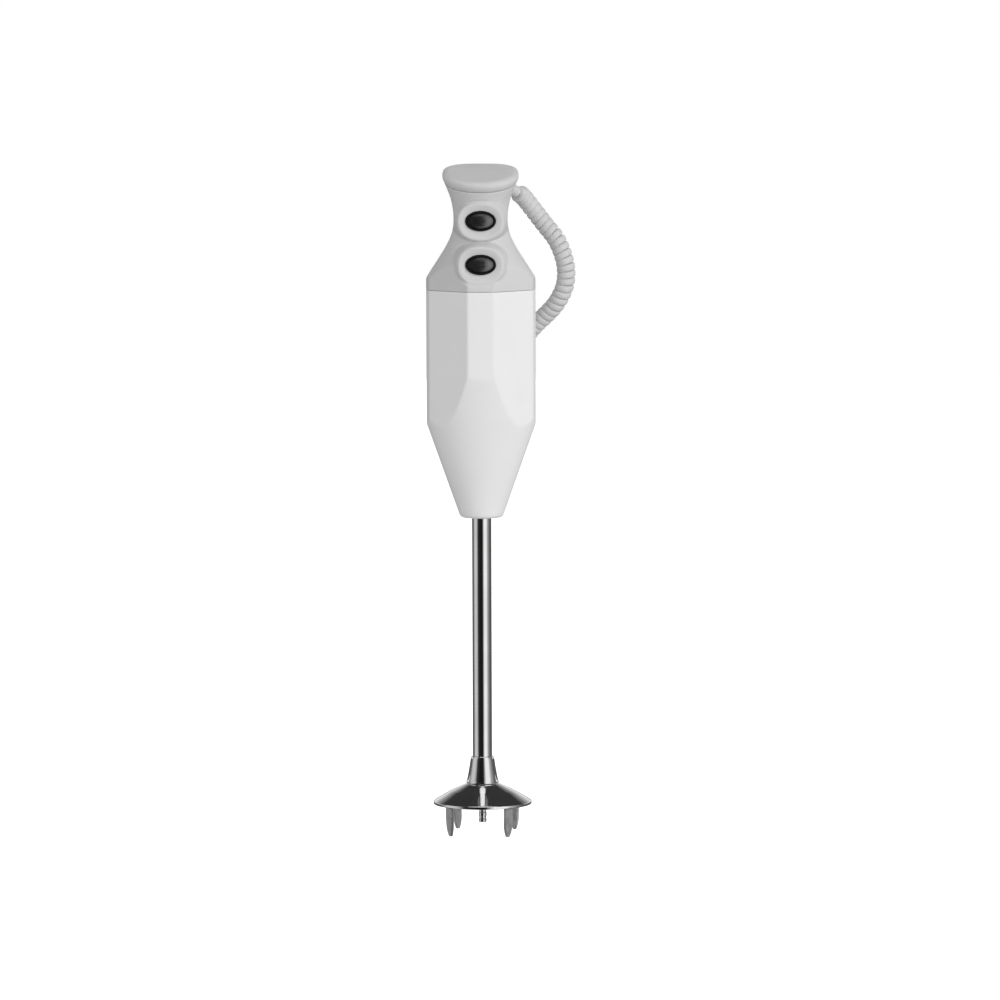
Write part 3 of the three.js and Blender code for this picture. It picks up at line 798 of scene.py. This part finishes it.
def oval_post(name, half_x, half_z, height, back, front, across=0.0):
    """An oval post that runs from back to front, for cutting."""
    outline = oval(half_x, half_z)
    return loft(name, [[(across + p.x, y, height + p.y) for p in outline] for y in (back, front)])


SEAL_WIDTH = 0.8


def head():
    foot = extent("head_shell")[0].z - SEAM_CLOSED
    edge = 0.3
    rows = [(z, inset, True) for z, inset in arc_rows(foot, edge, 1)]
    rows += [(z, 0.0, True) for z in spaced(foot + edge, HEAD_TOP - 0.4, 0.42)]
    rows += [(z, inset, False) for z, inset in reversed(arc_rows(HEAD_TOP, 0.4, -1))]
    rows += [(z, HEAD_WALL, False) for z in spaced(foot, HEAD_TOP, 2.0)[::-1]]
    rings = [[head_point(a, z, inset, outer) for a in ANGLES] for z, inset, outer in rows]
    piece = loft("head", rings, closed=True, crease=60)
    for side, (height, front, half_x, half_z) in BUTTONS.items():
        grow = GAP + SEAL_WIDTH + GAP / 2
        cut(piece, oval_post(f"{side}_well", half_x + grow, half_z + grow, height, -6, front - 4))
    pocket_profile = [(0, -8), (3.5, -8), (3.5, 1.1), (4.4, 1.1), (4.4, 6), (0, 6)]
    pocket = turned("gland_pocket", pocket_profile, 64, closed=False)
    cut(piece, moved(pocket, GLAND_TURN))
    piece.data.set_sharp_from_angle(angle=math.radians(60))
    return stands_for(piece, "head_shell")


def top_cap():
    profile = rounded([(18.5, 0), (19.3, 1.3), (19.7, 2.8), (19.4, 4.2), (17.4, 5.15), (15, CAP_HEIGHT)],
                      0.9, 4, closed=False)
    rings = [[(0, 0, 0)]]
    for radius, height in profile:
        outline = [square_back(radius * math.cos(a), radius * math.sin(a), 1.0) for a in ANGLES]
        rings.append([(x, y, height) for x, y in outline])
    rings.append([(0, 0, CAP_HEIGHT)])
    piece = loft("cap", rings, crease=50)
    turn = Matrix.Rotation(HEAD_TILT, 4, "X")
    return stands_for(moved(piece, Matrix.Translation((0, 0, (HEAD_TOP + GAP) * MM)) @ turn), "top_cap")


head()
top_cap()


# ---- buttons --------------------------------------------------------------------------------------------

TOUCH_DOTS = {"upper": [(1.7, 0.0)], "lower": [(-0.7, 1.1), (-0.7, -0.8), (1.5, 1.1), (1.5, -0.8)]}
DOT_RADIUS = 0.5
DOT_DEPTH = 0.5


def button(side):
    """A domed oval button with small dimples to feel for."""
    height, front, half_x, half_z = BUTTONS[side]
    face = front - BUTTON_PROUD
    depth, edge, crown = 4.0, 0.5, 1.0
    outline = oval(half_x, half_z)

    def ring(drawn, y):
        share_x, share_z = 1 - drawn / half_x, 1 - drawn / half_z
        return [(p.x * share_x, y, height + p.y * share_z) for p in outline]

    def dome(share):
        return face + crown * share * share

    rings = [[(0, face + depth, height)], ring(0, face + depth), ring(0, dome(1) + edge)]
    for i in range(1, 7):
        a = math.pi / 2 * i / 6
        rings.append(ring(edge * (1 - math.cos(a)), dome(1) + edge * (1 - math.sin(a))))
    inner = 1 - edge / half_z
    for i in range(1, 14):
        share = 1 - i / 14
        rings.append([(p.x * inner * share, dome(share), height + p.y * inner * share) for p in outline])
    rings.append([(0, face, height)])
    piece = loft(f"{side}_push_button", rings, crease=50)
    for x, z in TOUCH_DOTS[side]:
        floor_level = dome(math.hypot(x / half_x, z / half_z)) + DOT_DEPTH
        dimple = oval_post("dimple", DOT_RADIUS, DOT_RADIUS, height + z, floor_level, face - 1, x)
        cut(piece, dimple)
    piece.data.set_sharp_from_angle(angle=math.radians(50))
    return stands_for(piece, f"{side}_button")


def button_seal(side):
    height, front, half_x, half_z = BUTTONS[side]
    outline = oval(half_x + GAP + SEAL_WIDTH / 2, half_z + GAP + SEAL_WIDTH / 2)
    section = rounded([(-SEAL_WIDTH / 2, 2.8), (SEAL_WIDTH / 2, 2.8), (SEAL_WIDTH / 2, -0.1),
                       (-SEAL_WIDTH / 2, -0.1)], 0.35, 4)
    rings = []
    for i, place in enumerate(outline):
        along = (outline[(i + 1) % len(outline)] - outline[i - 1]).normalized()
        out = Vector((along.y, -along.x))
        rings.append([(place.x + out.x * p.x, front + p.y, height + place.y + out.y * p.x) for p in section])
    return stands_for(loft(f"{side}_seal_ring", rings, closed=True), f"{side}_button_seal")


for button_side in BUTTONS:
    button(button_side)
    button_seal(button_side)


# ---- tube, drive tip and guard --------------------------------------------------------------------------

PRONG_FIRST = math.radians(38)
PRONG_RADIUS = 21.7
PRONG_HALF = 2.6
PRONG_THICK = 1.6
PRONG_DRAFT = 0.1  # how much each edge draws in evenly over the whole length
PRONG_TAPER = 1.6  # how much more each edge draws in by the tip
PRONG_PARALLEL = 0.55  # share of the length over which the edges are nearly parallel
PRONG_LEAN = 0.8  # how far the tip stands in towards the axis
PRONG_STEPS = 12


def shaft_tube():
    low, high = extent("shaft_tube")
    radius, bore = high.x, 4.2
    profile = rounded([(radius, low.z), (radius, high.z), (bore, high.z), (bore, low.z)], 0.3, 4)
    return stands_for(turned("drive_tube", profile, 96), "shaft_tube")


def drive_shaft():
    low, high = extent("drive_shaft")
    radius, tip = high.x, low.z
    groove = radius - 0.22
    outline = [(0, tip), (radius - 0.4, tip), (radius, tip + 0.5)]
    for start in (1.6, 5.0):
        outline += [(radius, tip + start), (groove, tip + start + 0.4), (groove, tip + start + 1.3),
                    (radius, tip + start + 1.7)]
    outline += [(radius, high.z - 0.4), (radius - 0.4, high.z), (0, high.z)]
    return stands_for(turned("drive_spindle", rounded(outline, 0.15, 3, closed=False), 64, closed=False),
                      "drive_shaft")


def guard_ferrule():
    low, high = extent("guard_ferrule")
    foot, top = low.z, high.z
    wide, bore, inner = high.x, 5.3, 4.4
    outer = [(bore, top), (5.7, top), (6.1, top - 1), (6.75, top - 5.4), (7.5, top - 9.6), (8.1, top - 12.4),
             (wide, top - 13.2), (wide - 0.2, foot)]
    inside = [(5.4, foot), (5.4, top - 9.4), (inner, top - 9.4), (inner, top - 8), (bore, top - 8)]
    return stands_for(turned("guard_collar", rounded([*outer, *inside], 0.4, 5), 128), "guard_ferrule")


def guard_bell():
    low, high = extent("guard_bell")
    foot, top, rim = low.z, high.z, high.x
    outer = [(3.2, top), (8.4, top), (16.6, top - 3.8), (24.9, top - 8.8), (rim, top - 9.3),
             (rim, foot + 0.3), (rim - 0.3, foot)]
    inside = [(23.6, foot), (23.2, foot + 0.5), (15.8, top - 6.2), (8.2, top - 2), (3.2, top - 2)]
    return stands_for(turned("bell_guard", rounded([*outer, *inside], 0.25, 5), 160), "guard_bell")


def shaft_seal():
    low, high = extent("shaft_seal")
    bore = extent("drive_shaft")[1].x + GAP / 2
    profile = rounded([(high.x, low.z), (high.x, high.z), (bore, high.z), (bore + 0.5, low.z + 1)], 0.3, 3)
    return stands_for(turned("lip_seal", profile, 48), "shaft_seal")


def guard_prong(index):
    """A flat finger, curved with the bell's rim, that narrows to a blunt tip and leans in a little."""
    node = f"guard_prong_{index + 1}"
    low, high = extent(node)
    length = high.z - low.z
    facing = PRONG_FIRST + index * math.pi / 2
    side = []
    for i in range(PRONG_STEPS + 1):
        share = i / PRONG_STEPS
        past_parallel = max(share - PRONG_PARALLEL, 0) / (1 - PRONG_PARALLEL)
        half = PRONG_HALF - PRONG_DRAFT * share - PRONG_TAPER * past_parallel ** 2
        side.append((half, -share * length))
    outline = [*side, *[(-x, z) for x, z in reversed(side)]]
    work = bmesh.new()
    front = [work.verts.new((x, -PRONG_THICK / 2, z)) for x, z in outline]
    back = [work.verts.new((x, PRONG_THICK / 2, z)) for x, z in outline]
    work.faces.new(front)
    work.faces.new(back[::-1])
    for i in range(len(outline)):
        j = (i + 1) % len(outline)
        work.faces.new((front[j], front[i], back[i], back[j]))
    bmesh.ops.recalc_face_normals(work, faces=work.faces)
    bmesh.ops.bevel(work, geom=work.edges[:], offset=0.3, segments=3, affect="EDGES", clamp_overlap=True)
    for vert in work.verts:
        x, y, z = vert.co
        turn = facing + x / PRONG_RADIUS
        out = PRONG_RADIUS - y - PRONG_LEAN * (z / length) ** 2
        vert.co = Vector((out * math.cos(turn), out * math.sin(turn), high.z + z)) * MM
    bmesh.ops.recalc_face_normals(work, faces=work.faces)
    mesh = bpy.data.meshes.new(node)
    work.to_mesh(mesh)
    work.free()
    return stands_for(finished(f"prong_{index + 1}", mesh, 35), node)


shaft_tube()
drive_shaft()
guard_ferrule()
guard_bell()
shaft_seal()
for prong in range(4):
    guard_prong(prong)


# ---- strain relief --------------------------------------------------------------------------------------

def strain_relief():
    profile = [(0, -3.5), (3.2, -3.5), (3.2, 1.4), (4.2, 1.4), (4.2, 2.8)]
    ribs = 4
    for i in range(ribs):
        base = 3.4 + i * 2.2
        radius = 3.9 - 0.25 * i
        profile += [(radius - 0.6, base), (radius - 0.6, base + 0.7)]
        profile += [(radius, base + 1.0), (radius, base + 1.7)]
    profile += [(2.7, GLAND_LENGTH - 0.4), (2.4, GLAND_LENGTH), (0, GLAND_LENGTH)]
    piece = turned("cord_boot", rounded(profile, 0.25, 3, closed=False), 48, closed=False)
    return stands_for(moved(piece, GLAND_TURN), "strain_relief")


strain_relief()

for node_name, cad_piece in frame["nodes"].items():
    if node_name not in replaced:
        cad_piece.data.materials.clear()
        cad_piece.data.materials.append(MATERIALS[SLOT_OF[node_name]])


# ---- studio ---------------------------------------------------------------------------------------------

AMBIENT = 0.45

# What polished surfaces see: brightness by bearing, in degrees from the front towards the cord's side.
SIDE_BANDS = [
    (-180, 0.10), (-118, 0.10), (-104, 0.35), (-92, 0.62), (-68, 0.62), (-56, 0.40), (-46, 0.04), (-20, 0.01),
    (4, 0.012), (10, 0.03), (20, 0.50), (28, 0.95), (56, 0.95), (70, 0.45),
    (92, 0.20), (110, 0.10), (180, 0.09),
]
# Brightness of the back wall and of what is overhead, by height: 0.5 is level, and 1 is straight up.
BACK_WALL = [(0.53, 0.10), (0.542, 0.92), (0.60, 0.80), (0.656, 0.60), (0.7235, 0.275), (0.802, 0.036)]
BEHIND_FROM = math.radians(117)  # bearing past which the back wall is seen
OVERHEAD_FROM = 0.68  # upward share of a direction past which it counts as overhead
HIGH_FRONT = 1.15  # brightness of a lamp high up in front, which only lights reflections of reflections
LAMP_FROM = 0.78  # lowest upward share of a direction that meets the lamp
LAMP_BACK = -0.15
LAMP_HALF = 0.4


def studio_world():
    """White to the camera, an even grey to matt surfaces, and dark and bright bands to polished ones."""
    world = bpy.data.worlds.new("studio")
    bpy.context.scene.world = world
    world.use_nodes = True
    nodes, links = world.node_tree.nodes, world.node_tree.links
    nodes.clear()

    def math_node(operation, a, b=None):
        made = nodes.new("ShaderNodeMath")
        made.operation = operation
        for socket, value in zip(made.inputs, (a, b)):
            if isinstance(value, (int, float)):
                socket.default_value = value
            elif value is not None:
                links.new(value, socket)
        return made.outputs[0]

    def banded(source, stops):
        ramp = nodes.new("ShaderNodeValToRGB")
        elements = ramp.color_ramp.elements
        while len(elements) < len(stops):
            elements.new(0.5)
        for element, (position, value) in zip(elements, stops):
            element.position = position
            element.color = (value, value, value, 1)
        links.new(source, ramp.inputs["Fac"])
        return ramp.outputs["Color"]

    def mixed(factor, a, b):
        made = nodes.new("ShaderNodeMix")
        made.data_type = "RGBA"
        links.new(factor, made.inputs["Factor"])
        for socket, value in ((made.inputs[6], a), (made.inputs[7], b)):
            if isinstance(value, float):
                socket.default_value = (value, value, value, 1)
            else:
                links.new(value, socket)
        return made.outputs[2]

    split = nodes.new("ShaderNodeSeparateXYZ")
    links.new(nodes.new("ShaderNodeTexCoord").outputs["Generated"], split.inputs[0])
    x, y, z = split.outputs
    round_turn = math_node("ARCTAN2", x, math_node("MULTIPLY", y, -1.0))
    bearing = math_node("ADD", math_node("DIVIDE", round_turn, 2 * math.pi), 0.5)

    def at(degrees):
        return degrees / 360 + 0.5

    bands = banded(bearing, [(at(degrees), value) for degrees, value in SIDE_BANDS])
    height = math_node("ADD", math_node("MULTIPLY", z, 0.5), 0.5)
    back_wall = banded(height, BACK_WALL)
    behind = math_node("GREATER_THAN", math_node("ABSOLUTE", round_turn), BEHIND_FROM)
    overhead = math_node("GREATER_THAN", z, OVERHEAD_FROM)
    polished = mixed(math_node("MAXIMUM", behind, overhead), bands, back_wall)
    in_front = math_node("LESS_THAN", y, LAMP_BACK)
    high = math_node("GREATER_THAN", z, LAMP_FROM)
    narrow = math_node("LESS_THAN", math_node("ABSOLUTE", x), LAMP_HALF)
    lamp = math_node("MULTIPLY", narrow, math_node("MULTIPLY", in_front, high))
    polished = mixed(lamp, polished, HIGH_FRONT)

    paths = nodes.new("ShaderNodeLightPath").outputs
    seen = mixed(paths["Is Glossy Ray"], AMBIENT, polished)
    seen = mixed(paths["Is Camera Ray"], seen, 1.0)
    background = nodes.new("ShaderNodeBackground")
    output = nodes.new("ShaderNodeOutputWorld")
    links.new(seen, background.inputs["Color"])
    links.new(background.outputs[0], output.inputs[0])


def soft_light(name, place, size, power):
    data = bpy.data.lights.new(name, "AREA")
    data.shape = "DISK"
    data.size = size
    data.energy = power
    light = bpy.data.objects.new(name, data)
    bpy.context.scene.collection.objects.link(light)
    light.location = place
    light.rotation_euler = (Vector((0, 0, -0.1)) - Vector(place)).to_track_quat("-Z", "Y").to_euler()
    light.visible_glossy = False
    light.visible_camera = False


def floor():
    half = 3.0
    drop = 0.0004
    level = cad_box[0][2] - drop
    mesh = bpy.data.meshes.new("floor")
    mesh.from_pydata([(-half, -half, level), (half, -half, level), (half, half, level), (-half, half, level)],
                     [], [(0, 1, 2, 3)])
    piece = bpy.data.objects.new("floor", mesh)
    bpy.context.scene.collection.objects.link(piece)
    paper = bpy.data.materials.new("floor_paper")
    paper.use_nodes = True
    shader = paper.node_tree.nodes["Principled BSDF"]
    shader.inputs["Base Color"].default_value = (0.8, 0.8, 0.8, 1)
    shader.inputs["Emission Color"].default_value = (1, 1, 1, 1)
    shader.inputs["Emission Strength"].default_value = 1.0
    mesh.materials.append(paper)
    piece.visible_diffuse = False
    piece.visible_glossy = False


studio_world()
soft_light("key", (2.2, -1.8, 1.1), 1.6, 38.0)
soft_light("front", (0.3, -3.0, 0.6), 1.2, 17.5)
soft_light("fill", (-2.2, -1.6, 0.6), 1.4, 4.2)
floor()
bpy.context.scene.view_settings.view_transform = "Standard"
